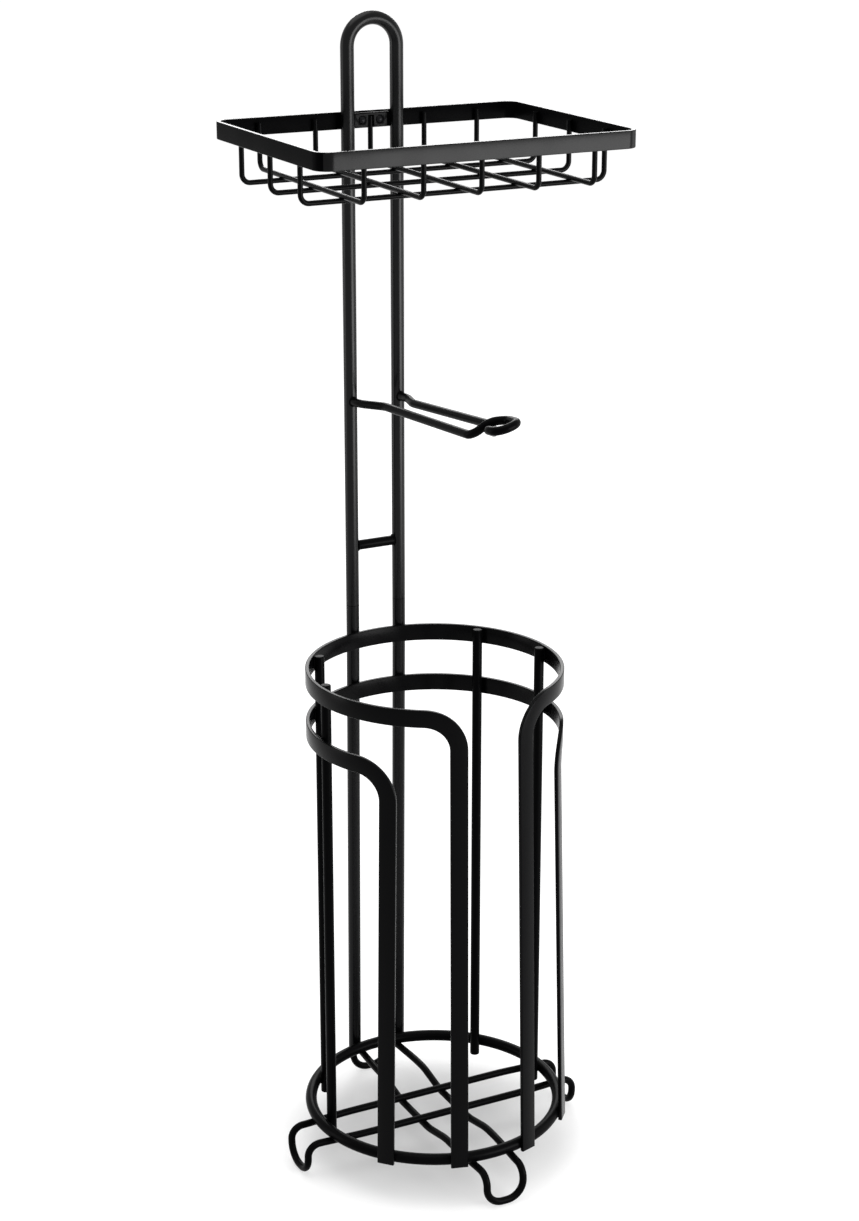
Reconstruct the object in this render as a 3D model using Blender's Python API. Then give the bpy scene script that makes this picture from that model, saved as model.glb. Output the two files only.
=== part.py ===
"""Free-standing toilet roll holder: a pole with a hanging arm and a wire basket on a round storage cage.

Everything is black powder-coated steel wire, rod and flat bar. The origin is on the floor under the
middle of the base ring, X is to the right, the open front of the cage faces -Y and Z is up. Metres.
"""
import math

import bmesh
import bpy
from mathutils import Matrix, Vector

# Clearance between pieces that touch, and the overrun of a cutting tool
GAP = 0.0003
CUT_OVERRUN = 0.002

# Base ring
RING_WIRE = 0.006
RING_HEIGHT = 0.027
CAGE_RADIUS = 0.0743

# Foot loops
FOOT_WIRE = 0.0042
FOOT_SPACING = 0.028
FOOT_WIDTH = 0.0245
FOOT_OVERHANG = 0.0125
FOOT_NECK = 0.028
FOOT_BEND = 0.0075
FOOT_FLAT = 0.003
FOOT_NECK_BEND = 0.010
JOGGLE_START = 0.020
JOGGLE_LENGTH = 0.022
JOGGLE_BEND = 0.030

# Flat bar, and the two bands of the cage that are bent from it
BAND_WIDTH = 0.0104
BAR_THICKNESS = 0.0024
BAR_EDGE = 0.0004
UPPER_BAND_TOP = 0.314
LOWER_BAND_TOP = 0.281
BAND_BEND = 0.020
SLAT_OVERHANG = 0.0005
UPPER_SLAT_ANGLE = math.radians(16.6)
LOWER_SLAT_ANGLE = math.radians(48)

# Upright rods of the cage
ROD_WIRE = 0.006
ROD_CHAMFER = 0.0006
ROD_TAIL = 0.007
ROD_HEAD_DROP = 0.0005
ROD_ANGLES = {
    "side_rod_left": math.radians(-90),
    "side_rod_right": math.radians(90),
    "back_rod_left": math.radians(-131),
    "back_rod_right": math.radians(131),
}

# Pole and its legs. The joint between them lies above the upper band, and the cross bar above the joint.
POLE_WIRE = 0.008
POLE_SPACING = 0.0315
POLE_TOP = 0.686
JOINT_RISE = 0.0165
LEG_BEND = 0.060
STUD_WIRE = 0.005
STUD_LENGTH = 0.024
STUD_END_PLAY = 0.0005
CROSS_BAR_WIRE = 0.006
CROSS_BAR_RISE = 0.0375

# Hanging arm: where its two wires start, and the corners they are bent at on the way to the loop.
# Each corner is sideways, forwards from the legs, upwards from the start, and the radius of its bend.
ARM_WIRE = 0.005
ARM_HEIGHT = 0.459
ARM_STUB = 0.009
ARM_STUB_RISE = 0.0008
ARM_NECK_BEND = 0.016
ARM_CORNERS = (
    (-0.0090, 0.0290, 0.0028, 0.016),
    (-0.0090, 0.1370, 0.0103, 0.008),
    (0.0005, 0.1402, 0.0180, 0.009),
    (0.0085, 0.1462, 0.0194, 0.008),
    (0.0065, 0.1630, 0.0217, 0.0065),
    (-0.0065, 0.1630, 0.0180, 0.0065),
    (-0.0075, 0.1522, 0.0169, 0.007),
    (0.0040, 0.1397, 0.0112, 0.008),
    (0.0090, 0.1252, 0.0119, 0.009),
    (0.0090, 0.0290, 0.0028, 0.016),
)

# Basket, hung below the top of the pole
BASKET_DROP = 0.057
RIM_WIDTH = 0.010
BASKET_LENGTH = 0.195
BASKET_DEPTH = 0.145
BASKET_CORNER = 0.009
BASKET_WIRE = 0.0025
BASKET_SINK = 0.0325
WIRE_END_DROP = 0.003
WIRE_BEND = 0.0045
LONG_WIRE_PITCH = 0.0395
CROSS_WIRE_PITCH = 0.035
LONG_WIRE_COUNT = 3
CROSS_WIRE_COUNT = 5

# Bracket and screws that hold the basket to the pole
BRACKET_HEIGHT = 0.0084
BRACKET_THICKNESS = 0.0024
SCREW_SPACING = 0.0112
SCREW_DIAMETER = 0.004
SCREW_TIP = 0.0012
HEAD_DIAMETER = 0.0068
HEAD_HEIGHT = 0.0022
HEAD_EDGE = 0.0007
SOCKET_ACROSS = 0.0025
SOCKET_DEPTH = 0.0012
NOTCH_PLAY = 0.0005

# Faces round a wire and steps along a bend
THICK_SIDES = 12
THIN_SIDES = 8
RING_STEPS = 72
HOOP_STEP = math.radians(6.5)
BEND_STEPS = 5
TIGHT_STEPS = 6
POLE_STEPS = 14


def start_empty():
    """Remove what the file holds, so that only this model is in it."""
    for thing in list(bpy.data.objects):
        bpy.data.objects.remove(thing, do_unlink=True)


def make_material(name, colour, roughness, metallic):
    """Plain Principled material."""
    material = bpy.data.materials.new(name)
    material.use_nodes = True
    shader = material.node_tree.nodes["Principled BSDF"]
    shader.inputs["Base Color"].default_value = colour
    shader.inputs["Roughness"].default_value = roughness
    shader.inputs["Metallic"].default_value = metallic
    material.diffuse_color = colour
    return material


def finish(name, bm, material):
    """Turn a bmesh into a named object with outward faces and smooth round surfaces."""
    bmesh.ops.recalc_face_normals(bm, faces=bm.faces)
    mesh = bpy.data.meshes.new(name)
    bm.to_mesh(mesh)
    bm.free()
    mesh.shade_smooth()
    mesh.set_sharp_from_angle(angle=math.radians(40))
    mesh.materials.append(material)
    piece = bpy.data.objects.new(name, mesh)
    bpy.context.scene.collection.objects.link(piece)
    return piece


def loft(name, rings, material, closed=False):
    """Skin a row of point rings. An open row is capped at both ends, a closed one runs round."""
    bm = bmesh.new()
    rows = [[bm.verts.new(point) for point in ring] for ring in rings]
    count = len(rows[0])
    pairs = list(zip(rows, rows[1:]))
    if closed:
        pairs.append((rows[-1], rows[0]))
    for lower, upper in pairs:
        for k in range(count):
            after = (k + 1) % count
            bm.faces.new((lower[k], lower[after], upper[after], upper[k]))
    if not closed:
        bm.faces.new(list(reversed(rows[0])))
        bm.faces.new(rows[-1])
    return finish(name, bm, material)


def bent_path(corners, bends, closed=False, steps=BEND_STEPS):
    """Points of a wire that runs straight from corner to corner, with a round bend at each corner.

    A bend that has no room on its two straight runs is made tighter until it fits them.
    """
    corners = [Vector(corner) for corner in corners]
    count = len(corners)
    inner = range(count) if closed else range(1, count - 1)
    runs = {k: (corners[(k + 1) % count] - corners[k]) for k in range(count if closed else count - 1)}
    setback = {k: 0 for k in range(count)}
    turns = {}
    for k in inner:
        arriving, leaving = runs[(k - 1) % count], runs[k]
        turns[k] = arriving.angle(leaving)
        setback[k] = bends[k] * math.tan(turns[k] / 2)
    share = {k: 1 for k in range(count)}
    for k, run in runs.items():
        after = (k + 1) % count
        needed = setback[k] + setback[after]
        if needed > run.length:
            share[k] = min(share[k], run.length / needed)
            share[after] = min(share[after], run.length / needed)
    path = []
    for k in range(count):
        if k not in turns or turns[k] * share[k] == 0:
            path.append(corners[k])
            continue
        arriving, leaving = runs[(k - 1) % count].normalized(), runs[k].normalized()
        back = setback[k] * share[k]
        radius = back / math.tan(turns[k] / 2)
        middle = corners[k] + (leaving - arriving).normalized() * (radius / math.cos(turns[k] / 2))
        spoke = corners[k] - arriving * back - middle
        axis = arriving.cross(leaving).normalized()
        for step in range(steps + 1):
            turn = Matrix.Rotation(turns[k] * step / steps, 3, axis)
            path.append(middle + turn @ spoke)
    tidy = [path[0]]
    for point in path[1:]:
        if (point - tidy[-1]).length > GAP / 10:
            tidy.append(point)
    if closed and (tidy[0] - tidy[-1]).length < GAP / 10:
        tidy.pop()
    return tidy


def frames_along(path, normal, closed=False):
    """Tangent, normal and side at each point, carried along the path without twisting."""
    count = len(path)
    frames = []
    normal = Vector(normal).normalized()
    for k, point in enumerate(path):
        before = path[k - 1] if k > 0 or closed else point
        after = path[(k + 1) % count] if k < count - 1 or closed else point
        arriving = (point - before).normalized() if before != point else (after - point).normalized()
        leaving = (after - point).normalized() if after != point else arriving
        tangent = (arriving + leaving).normalized()
        if frames:
            normal = frames[-1][0].rotation_difference(tangent) @ frames[-1][1]
        normal = (normal - tangent * normal.dot(tangent)).normalized()
        stretch = 1 / max(math.cos(arriving.angle(leaving) / 2), 0.5)
        frames.append((tangent, normal.copy(), tangent.cross(normal), stretch, (leaving - arriving)))
    return frames


def circle_ring(centre, frame, radius, sides):
    """One ring of points round a wire, with a flat of the wire facing along its normal."""
    tangent, normal, side = frame[0], frame[1], frame[2]
    ring = []
    for k in range(sides):
        angle = 2 * math.pi * (k + 0.5) / sides
        ring.append(centre + normal * (radius * math.cos(angle)) + side * (radius * math.sin(angle)))
    return ring


def wire(name, path, diameter, material, normal, sides=THICK_SIDES, closed=False, chamfer=0, bores=(0, 0)):
    """Round wire along a path. A bore is the depth of a stud hole in that end of the wire."""
    radius = diameter / 2
    frames = frames_along(path, normal, closed)
    if closed:
        rings = [circle_ring(p, f, radius, sides) for p, f in zip(path, frames)]
        return loft(name, rings, material, closed=True)
    body = list(zip(path, frames))
    hole = STUD_WIRE / 2 + GAP
    first, last = body[0], body[-1]
    inward_start, inward_end = first[1][0], -last[1][0]

    def end_rings(point, frame, inward, depth):
        rings = []
        if depth:
            rings.append(circle_ring(point + inward * depth, frame, hole, sides))
            rings.append(circle_ring(point, frame, hole, sides))
        if chamfer:
            rings.append(circle_ring(point, frame, radius - chamfer, sides))
            rings.append(circle_ring(point + inward * chamfer, frame, radius, sides))
        else:
            rings.append(circle_ring(point, frame, radius, sides))
        return rings

    rings = end_rings(*first, inward_start, bores[0])
    rings += [circle_ring(p, f, radius, sides) for p, f in body[1:-1]]
    rings += reversed(end_rings(*last, inward_end, bores[1]))
    return loft(name, rings, material)


def bar_ring(centre, across, normal, width, thickness):
    """One section of flat bar: a rectangle with its four edges eased."""
    half_width, half_thick = width / 2, thickness / 2
    flat_width, flat_thick = half_width - BAR_EDGE, half_thick - BAR_EDGE
    outline = [
        (half_width, -flat_thick), (half_width, flat_thick),
        (flat_width, half_thick), (-flat_width, half_thick),
        (-half_width, flat_thick), (-half_width, -flat_thick),
        (-flat_width, -half_thick), (flat_width, -half_thick),
    ]
    return [centre + across * u + normal * v for u, v in outline]


def ring_outer():
    """Radius of the outermost line of the base ring."""
    return CAGE_RADIUS + RING_WIRE


def band_outer():
    """Radius of the outer face of both bands."""
    return CAGE_RADIUS + BAR_THICKNESS


def make_base_ring(coat):
    """Closed ring of round rod that the whole cage is welded to."""
    centre_radius = CAGE_RADIUS + RING_WIRE / 2
    path = []
    for k in range(RING_STEPS):
        angle = 2 * math.pi * k / RING_STEPS
        path.append(Vector((centre_radius * math.sin(angle), -centre_radius * math.cos(angle), RING_HEIGHT)))
    return wire("base_ring", path, RING_WIRE, coat, (0, 0, 1), closed=True)


def foot_height():
    """Height of the foot wires where they cross under the ring."""
    return RING_HEIGHT - RING_WIRE / 2 - GAP - FOOT_WIRE / 2


def make_foot_loop(name, coat, turned, dips):
    """Long closed hairpin under the ring whose two ends are bent down into feet.

    The loop that dips passes under the other one in the middle and rises again to meet the ring.
    """
    top = foot_height()
    low = FOOT_WIRE / 2 * math.cos(math.pi / THIN_SIDES)
    reach = ring_outer() + FOOT_OVERHANG
    neck = reach - FOOT_BEND - FOOT_WIRE / 2
    half, foot_half = FOOT_SPACING / 2, FOOT_WIDTH / 2
    corners = []
    bends = []
    for side in (1, -1):
        if dips:
            under = top - FOOT_WIRE - GAP
            corners += [(side * -(JOGGLE_START + JOGGLE_LENGTH), -side * half, top)]
            corners += [(side * -JOGGLE_START, -side * half, under)]
            corners += [(side * JOGGLE_START, -side * half, under)]
            corners += [(side * (JOGGLE_START + JOGGLE_LENGTH), -side * half, top)]
            bends += [JOGGLE_BEND] * 4
        corners += [
            (side * (neck - FOOT_NECK), -side * half, top),
            (side * neck, -side * foot_half, top),
            (side * reach, -side * foot_half, top),
            (side * reach, -side * foot_half, low),
            (side * reach, side * foot_half, low),
            (side * reach, side * foot_half, top),
            (side * neck, side * foot_half, top),
            (side * (neck - FOOT_NECK), side * half, top),
        ]
        under_bend = foot_half - FOOT_FLAT / 2
        bends += [FOOT_NECK_BEND, FOOT_NECK_BEND, FOOT_BEND, under_bend]
        bends += [under_bend, FOOT_BEND, FOOT_NECK_BEND, FOOT_NECK_BEND]
    path = bent_path(corners, bends, closed=True, steps=TIGHT_STEPS)
    if turned:
        path = [Vector((-y, x, z)) for x, y, z in path]
    return wire(name, path, FOOT_WIRE, coat, (0, 0, 1), sides=THIN_SIDES, closed=True)


def make_band(name, coat, top, slat_angle):
    """Flat bar bent round the cage, then edgewise at both ends down into two slats.

    The bar is laid out flat first, as length along the hoop against height, and then wrapped onto
    the cage wall. The slats widen towards the floor until they lie outside the base ring.
    """
    centre = top - BAND_WIDTH / 2
    wall = CAGE_RADIUS + BAR_THICKNESS / 2
    foot_wall = ring_outer() + GAP + BAR_THICKNESS / 2
    taper_top = centre - BAND_BEND
    slope = (foot_wall - wall) / (taper_top - RING_HEIGHT)
    slat_end = RING_HEIGHT - RING_WIRE / 2 - SLAT_OVERHANG

    first = wall * slat_angle
    last = wall * (2 * math.pi - slat_angle)
    corners = [(first, 0, slat_end), (first, 0, centre), (last, 0, centre), (last, 0, slat_end)]
    flat = bent_path(corners, [0, BAND_BEND, BAND_BEND, 0], steps=TIGHT_STEPS)
    laid = []
    for here, there in zip(flat, flat[1:]):
        laid.append(here)
        pieces = 1
        if abs(there.z - here.z) < GAP:
            pieces = max(1, math.ceil(abs(there.x - here.x) / wall / HOOP_STEP))
        for k in range(1, pieces):
            laid.append(here.lerp(there, k / pieces))
    laid.append(flat[-1])

    rings = []
    for k, point in enumerate(laid):
        before, after = laid[max(k - 1, 0)], laid[min(k + 1, len(laid) - 1)]
        run = (point - before).normalized() + (after - point).normalized()
        run.normalize()
        below = max(0, taper_top - point.z)
        radius = wall + slope * below
        angle = point.x / wall
        outward = Vector((math.sin(angle), -math.cos(angle), 0))
        along = Vector((math.cos(angle), math.sin(angle), 0))
        lean = slope if below else 0
        up = (Vector((0, 0, 1)) - outward * lean).normalized()
        normal = (outward + Vector((0, 0, 1)) * lean).normalized()
        heading = along * run.x + up * run.z
        across = normal.cross(heading).normalized()
        spot = outward * radius + Vector((0, 0, 1)) * point.z
        rings.append(bar_ring(spot, across, normal, BAND_WIDTH, BAR_THICKNESS))
    return loft(name, rings, coat)


def make_rods(coat):
    """Four upright rods inside the ring and both bands."""
    radius = CAGE_RADIUS - GAP - ROD_WIRE / 2
    low = RING_HEIGHT - ROD_TAIL
    high = UPPER_BAND_TOP - ROD_HEAD_DROP
    for name, angle in ROD_ANGLES.items():
        x, y = radius * math.sin(angle), -radius * math.cos(angle)
        path = [Vector((x, y, low)), Vector((x, y, high))]
        wire(name, path, ROD_WIRE, coat, (math.sin(angle), -math.cos(angle), 0), chamfer=ROD_CHAMFER)


def pole_back():
    """Distance of the pole's axis behind the middle, where its legs rest on the outside of the bands."""
    reach = band_outer() + GAP + POLE_WIRE / 2
    return math.sqrt(reach ** 2 - (POLE_SPACING / 2) ** 2)


def joint_height():
    """Height of the butt joints between the legs and the pole."""
    return UPPER_BAND_TOP + JOINT_RISE


def make_legs(coat, steel):
    """Lower legs outside ring and bands, and the threaded studs that the pole screws down on."""
    reach = ring_outer() + GAP + POLE_WIRE / 2
    ring_back = math.sqrt(reach ** 2 - (POLE_SPACING / 2) ** 2)
    straight = UPPER_BAND_TOP - BAND_WIDTH / 2
    lean = (ring_back - pole_back()) / (straight - RING_HEIGHT)
    low = foot_height() + FOOT_WIRE / 2 + GAP
    low_back = ring_back + lean * (RING_HEIGHT - low)
    bore = STUD_LENGTH / 2 + STUD_END_PLAY
    for label, side in (("left", -1), ("right", 1)):
        x = side * POLE_SPACING / 2
        corners = [(x, low_back, low), (x, pole_back(), straight), (x, pole_back(), joint_height() - GAP / 2)]
        path = bent_path(corners, [0, LEG_BEND, 0])
        wire("leg_" + label, path, POLE_WIRE, coat, (0, 1, 0), chamfer=ROD_CHAMFER, bores=(0, bore))
        stud = [
            Vector((x, pole_back(), joint_height() - STUD_LENGTH / 2)),
            Vector((x, pole_back(), joint_height() + STUD_LENGTH / 2)),
        ]
        wire("joint_stud_" + label, stud, STUD_WIRE, steel, (0, 1, 0), chamfer=ROD_CHAMFER)


def make_pole(coat):
    """Rod bent to a tall upside-down U, with a stud hole in each end, and the bar across it."""
    half = POLE_SPACING / 2
    back = pole_back()
    low = joint_height() + GAP / 2
    top = POLE_TOP - POLE_WIRE / 2
    corners = [(-half, back, low), (-half, back, top), (half, back, top), (half, back, low)]
    path = bent_path(corners, [0, half, half, 0], steps=POLE_STEPS // 2)
    bore = STUD_LENGTH / 2 + STUD_END_PLAY
    wire("pole", path, POLE_WIRE, coat, (0, 1, 0), chamfer=ROD_CHAMFER, bores=(bore, bore))

    end = half - POLE_WIRE / 2 - GAP
    height = joint_height() + CROSS_BAR_RISE
    path = [Vector((-end, back, height)), Vector((end, back, height))]
    wire("cross_bar", path, CROSS_BAR_WIRE, coat, (0, 0, 1))


def make_arm(coat):
    """Hairpin arm: two wires run forwards from the legs, cross, and close in a raised loop."""
    half = POLE_SPACING / 2
    start = pole_back() - POLE_WIRE / 2 - GAP
    neck = start - ARM_STUB
    stub_height = ARM_HEIGHT + ARM_STUB_RISE
    corners = [(-half, start, ARM_HEIGHT), (-half, neck, stub_height)]
    bends = [0, ARM_NECK_BEND]
    for sideways, forwards, upwards, bend in ARM_CORNERS:
        corners.append((sideways, start - forwards, ARM_HEIGHT + upwards))
        bends.append(bend)
    corners += [(half, neck, stub_height), (half, start, ARM_HEIGHT)]
    bends += [ARM_NECK_BEND, 0]
    path = bent_path(corners, bends)
    wire("hanging_arm", path, ARM_WIRE, coat, (0, 0, 1), sides=THICK_SIDES - 2)


def basket_back():
    """Outer face of the basket's back, which lies behind the pole."""
    return pole_back() + POLE_WIRE / 2 + GAP + BAR_THICKNESS


def basket_top():
    """Height of the upper edge of the basket's rim."""
    return POLE_TOP - BASKET_DROP


def basket_middle():
    """Middle of the basket from front to back."""
    return basket_back() - BASKET_DEPTH / 2


def make_cutter(name, radius, low, high, x, z):
    """Round cutter along Y, left out of the model."""
    bm = bmesh.new()
    turn = Matrix.Translation((x, (low + high) / 2, z)) @ Matrix.Rotation(math.pi / 2, 4, "X")
    bmesh.ops.create_cone(
        bm, cap_ends=True, segments=16, radius1=radius, radius2=radius, depth=high - low, matrix=turn
    )
    mesh = bpy.data.meshes.new(name)
    bm.to_mesh(mesh)
    bm.free()
    cutter = bpy.data.objects.new(name, mesh)
    bpy.context.scene.collection.objects.link(cutter)
    cutter.hide_render = True
    cutter.display_type = "WIRE"
    return cutter


def drill_for_screws(piece, label, face_low, face_high, z):
    """Two screw holes through a piece, side by side."""
    radius = SCREW_DIAMETER / 2 + GAP
    for side in (-1, 1):
        x = side * SCREW_SPACING / 2
        low, high = face_low - CUT_OVERRUN, face_high + CUT_OVERRUN
        cutter = make_cutter(f"{label}_drill_{(side + 3) // 2}", radius, low, high, x, z)
        hole = piece.modifiers.new("hole", "BOOLEAN")
        hole.operation = "DIFFERENCE"
        hole.object = cutter


def make_basket_rim(coat):
    """Flat bar on edge, bent to a rectangle with round corners and welded shut."""
    half_long = BASKET_LENGTH / 2 - BAR_THICKNESS / 2
    half_deep = BASKET_DEPTH / 2 - BAR_THICKNESS / 2
    middle = basket_middle()
    height = basket_top() - RIM_WIDTH / 2
    corners = []
    for x, y in ((-1, -1), (1, -1), (1, 1), (-1, 1)):
        corners.append((x * half_long, middle + y * half_deep, height))
    bend = BASKET_CORNER - BAR_THICKNESS / 2
    path = bent_path(corners, [bend] * len(corners), closed=True)
    up = Vector((0, 0, 1))
    rings = []
    for point, frame in zip(path, frames_along(path, up, closed=True)):
        rings.append(bar_ring(point, up, frame[0].cross(up).normalized(), RIM_WIDTH, BAR_THICKNESS))
    rim = loft("basket_rim", rings, coat, closed=True)
    drill_for_screws(rim, "rim", basket_back() - BAR_THICKNESS, basket_back(), height)


def make_basket_wires(coat):
    """Long wires run left to right, and the cross wires lie on them. All turn up inside the rim."""
    inset = BAR_THICKNESS + GAP + BASKET_WIRE / 2
    end = basket_top() - WIRE_END_DROP
    floor = basket_top() - BASKET_SINK + BASKET_WIRE / 2
    middle = basket_middle()
    reach = BASKET_LENGTH / 2 - inset
    bends = [0, WIRE_BEND, WIRE_BEND, 0]
    for k in range(LONG_WIRE_COUNT):
        y = middle + (k - (LONG_WIRE_COUNT - 1) / 2) * LONG_WIRE_PITCH
        corners = [(-reach, y, end), (-reach, y, floor), (reach, y, floor), (reach, y, end)]
        path = bent_path(corners, bends)
        wire(f"basket_long_wire_{k + 1}", path, BASKET_WIRE, coat, (0, 1, 0), sides=THIN_SIDES)

    floor += BASKET_WIRE + GAP
    front, back = middle - BASKET_DEPTH / 2 + inset, middle + BASKET_DEPTH / 2 - inset
    for k in range(CROSS_WIRE_COUNT):
        x = (k - (CROSS_WIRE_COUNT - 1) / 2) * CROSS_WIRE_PITCH
        corners = [(x, front, end), (x, front, floor), (x, back, floor), (x, back, end)]
        path = bent_path(corners, bends)
        wire(f"basket_cross_wire_{k + 1}", path, BASKET_WIRE, coat, (1, 0, 0), sides=THIN_SIDES)


def make_bracket(coat):
    """Small plate between the pole's legs with two screw holes and a notch for the middle wire."""
    half = POLE_SPACING / 2 - POLE_WIRE / 2 - GAP
    back = basket_back() - BAR_THICKNESS - GAP
    height = basket_top() - RIM_WIDTH / 2
    low, high = height - BRACKET_HEIGHT / 2, height + BRACKET_HEIGHT / 2
    slot = BASKET_WIRE / 2 + NOTCH_PLAY
    slot_top = basket_top() - WIRE_END_DROP + NOTCH_PLAY
    outline = [
        (-half, low), (-slot, low), (-slot, slot_top), (slot, slot_top),
        (slot, low), (half, low), (half, high), (-half, high),
    ]
    bm = bmesh.new()
    face = bm.faces.new([bm.verts.new((x, back, z)) for x, z in outline])
    made = bmesh.ops.extrude_face_region(bm, geom=[face])
    moved = [item for item in made["geom"] if isinstance(item, bmesh.types.BMVert)]
    bmesh.ops.translate(bm, verts=moved, vec=(0, -BRACKET_THICKNESS, 0))
    plate = finish("basket_bracket", bm, coat)
    drill_for_screws(plate, "bracket", back - BRACKET_THICKNESS, back, height)


def make_screws(steel):
    """Button-head screws from behind, through the rim into the bracket, with a hexagon socket."""
    seat = basket_back() + GAP
    tip = basket_back() - BAR_THICKNESS - GAP - BRACKET_THICKNESS - SCREW_TIP
    shank, head = SCREW_DIAMETER / 2, HEAD_DIAMETER / 2
    outline = [
        (shank - HEAD_EDGE, tip), (shank, tip + HEAD_EDGE), (shank, seat), (head, seat),
        (head, seat + HEAD_EDGE), (head - HEAD_EDGE, seat + HEAD_HEIGHT - HEAD_EDGE),
        (head - HEAD_HEIGHT, seat + HEAD_HEIGHT),
    ]
    height = basket_top() - RIM_WIDTH / 2
    for label, side in (("left", -1), ("right", 1)):
        x = side * SCREW_SPACING / 2
        axis = Vector((0, 1, 0))
        frame = (axis, Vector((0, 0, 1)), axis.cross(Vector((0, 0, 1))))
        rings = [circle_ring(Vector((x, y, height)), frame, radius, THICK_SIDES) for radius, y in outline]
        screw = loft("basket_screw_" + label, rings, steel)
        socket = bmesh.new()
        low, high = seat + HEAD_HEIGHT - SOCKET_DEPTH, seat + HEAD_HEIGHT + CUT_OVERRUN
        turn = Matrix.Translation((x, (low + high) / 2, height)) @ Matrix.Rotation(math.pi / 2, 4, "X")
        across = SOCKET_ACROSS / 2 / math.cos(math.pi / 6)
        bmesh.ops.create_cone(
            socket, cap_ends=True, segments=6, radius1=across, radius2=across, depth=high - low, matrix=turn
        )
        mesh = bpy.data.meshes.new("socket_" + label)
        socket.to_mesh(mesh)
        socket.free()
        cutter = bpy.data.objects.new("socket_" + label, mesh)
        bpy.context.scene.collection.objects.link(cutter)
        cutter.hide_render = True
        cutter.display_type = "WIRE"
        recess = screw.modifiers.new("socket", "BOOLEAN")
        recess.operation = "DIFFERENCE"
        recess.object = cutter


def main():
    """Build the holder from the floor up."""
    start_empty()
    coat = make_material("black_powder_coat", (0.012, 0.012, 0.013, 1), 0.38, 0.0)
    steel = make_material("black_screw_steel", (0.03, 0.03, 0.032, 1), 0.35, 0.9)
    make_base_ring(coat)
    make_foot_loop("foot_loop_side", coat, turned=False, dips=False)
    make_foot_loop("foot_loop_front", coat, turned=True, dips=True)
    make_band("upper_band", coat, UPPER_BAND_TOP, UPPER_SLAT_ANGLE)
    make_band("lower_band", coat, LOWER_BAND_TOP, LOWER_SLAT_ANGLE)
    make_rods(coat)
    make_legs(coat, steel)
    make_pole(coat)
    make_arm(coat)
    make_basket_rim(coat)
    make_basket_wires(coat)
    make_bracket(coat)
    make_screws(steel)


main()
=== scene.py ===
"""Looks of a free-standing toilet roll holder in black powder coat, on a pale studio floor."""
import math

import bpy
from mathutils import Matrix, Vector


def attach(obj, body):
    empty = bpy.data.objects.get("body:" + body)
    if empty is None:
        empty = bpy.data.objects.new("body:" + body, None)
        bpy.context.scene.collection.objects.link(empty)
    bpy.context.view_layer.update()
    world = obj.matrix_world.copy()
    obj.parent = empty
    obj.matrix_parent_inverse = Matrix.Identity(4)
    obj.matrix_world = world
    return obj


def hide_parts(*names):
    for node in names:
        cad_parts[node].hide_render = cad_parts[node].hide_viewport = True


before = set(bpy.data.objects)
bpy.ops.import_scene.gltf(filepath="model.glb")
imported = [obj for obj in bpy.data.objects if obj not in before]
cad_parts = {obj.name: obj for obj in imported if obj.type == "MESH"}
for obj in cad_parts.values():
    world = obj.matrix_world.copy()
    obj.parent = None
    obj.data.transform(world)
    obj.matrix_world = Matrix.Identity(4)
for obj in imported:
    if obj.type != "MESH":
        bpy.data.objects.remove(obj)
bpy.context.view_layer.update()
bpy.ops.object.select_all(action="DESELECT")


# Base ring.
# One 7 mm steel rod rolled into a ring and butt welded at the back. The whole cage is welded to it,
# and everything is then powder coated together in a satin black.
ring_rod = 0.007
ring_radius = 0.0773
ring_height = 0.027
seam_half = 0.0016
seam_swell = 0.00018
plain_black = (0.0012, 0.0012, 0.0014)


def dial_in(node, settings):
    """Set the sockets of a node by their labels."""
    for label, value in settings.items():
        node.inputs[label].default_value = value


def powder_coat(name, black, roughness, shine=0.08, peel=0.000004, dust=0.003):
    """Satin black powder coat: orange-peel skin, faint flow marks and a trace of dust on top faces."""
    coat = bpy.data.materials.new(name)
    coat.use_nodes = True
    nodes, links = coat.node_tree.nodes, coat.node_tree.links
    skin = nodes["Principled BSDF"]
    skin.inputs["Specular IOR Level"].default_value = shine
    place = nodes.new("ShaderNodeTexCoord")

    def noise(scale, detail):
        """Noise that sits still on the piece."""
        speckle = nodes.new("ShaderNodeTexNoise")
        dial_in(speckle, {"Scale": scale, "Detail": detail})
        links.new(place.outputs["Object"], speckle.inputs["Vector"])
        return speckle.outputs["Fac"]

    flow = nodes.new("ShaderNodeMapRange")
    dial_in(flow, {"From Min": 0.3, "From Max": 0.7})
    dial_in(flow, {"To Min": roughness - 0.03, "To Max": roughness + 0.04})
    links.new(noise(scale=55, detail=3), flow.inputs["Value"])
    links.new(flow.outputs["Result"], skin.inputs["Roughness"])

    facing = nodes.new("ShaderNodeNewGeometry")
    upward = nodes.new("ShaderNodeSeparateXYZ")
    links.new(facing.outputs["Normal"], upward.inputs["Vector"])
    settled = nodes.new("ShaderNodeMath")
    settled.operation = "MULTIPLY"
    settled.use_clamp = True
    links.new(upward.outputs["Z"], settled.inputs[0])
    links.new(noise(scale=900, detail=2), settled.inputs[1])
    tone = nodes.new("ShaderNodeMix")
    tone.data_type = "RGBA"
    dial_in(tone, {"A": (*black, 1), "B": (*(part + dust for part in black), 1)})
    links.new(settled.outputs["Value"], tone.inputs["Factor"])
    links.new(tone.outputs["Result"], skin.inputs["Base Color"])

    relief = nodes.new("ShaderNodeBump")
    dial_in(relief, {"Strength": 0.35, "Distance": peel})
    links.new(noise(scale=900, detail=1), relief.inputs["Height"])
    links.new(relief.outputs["Normal"], skin.inputs["Normal"])
    return coat


def take_up(piece):
    """Make one piece the only selected one, and the active one."""
    bpy.ops.object.select_all(action="DESELECT")
    bpy.context.view_layer.objects.active = piece
    piece.select_set(True)


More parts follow.
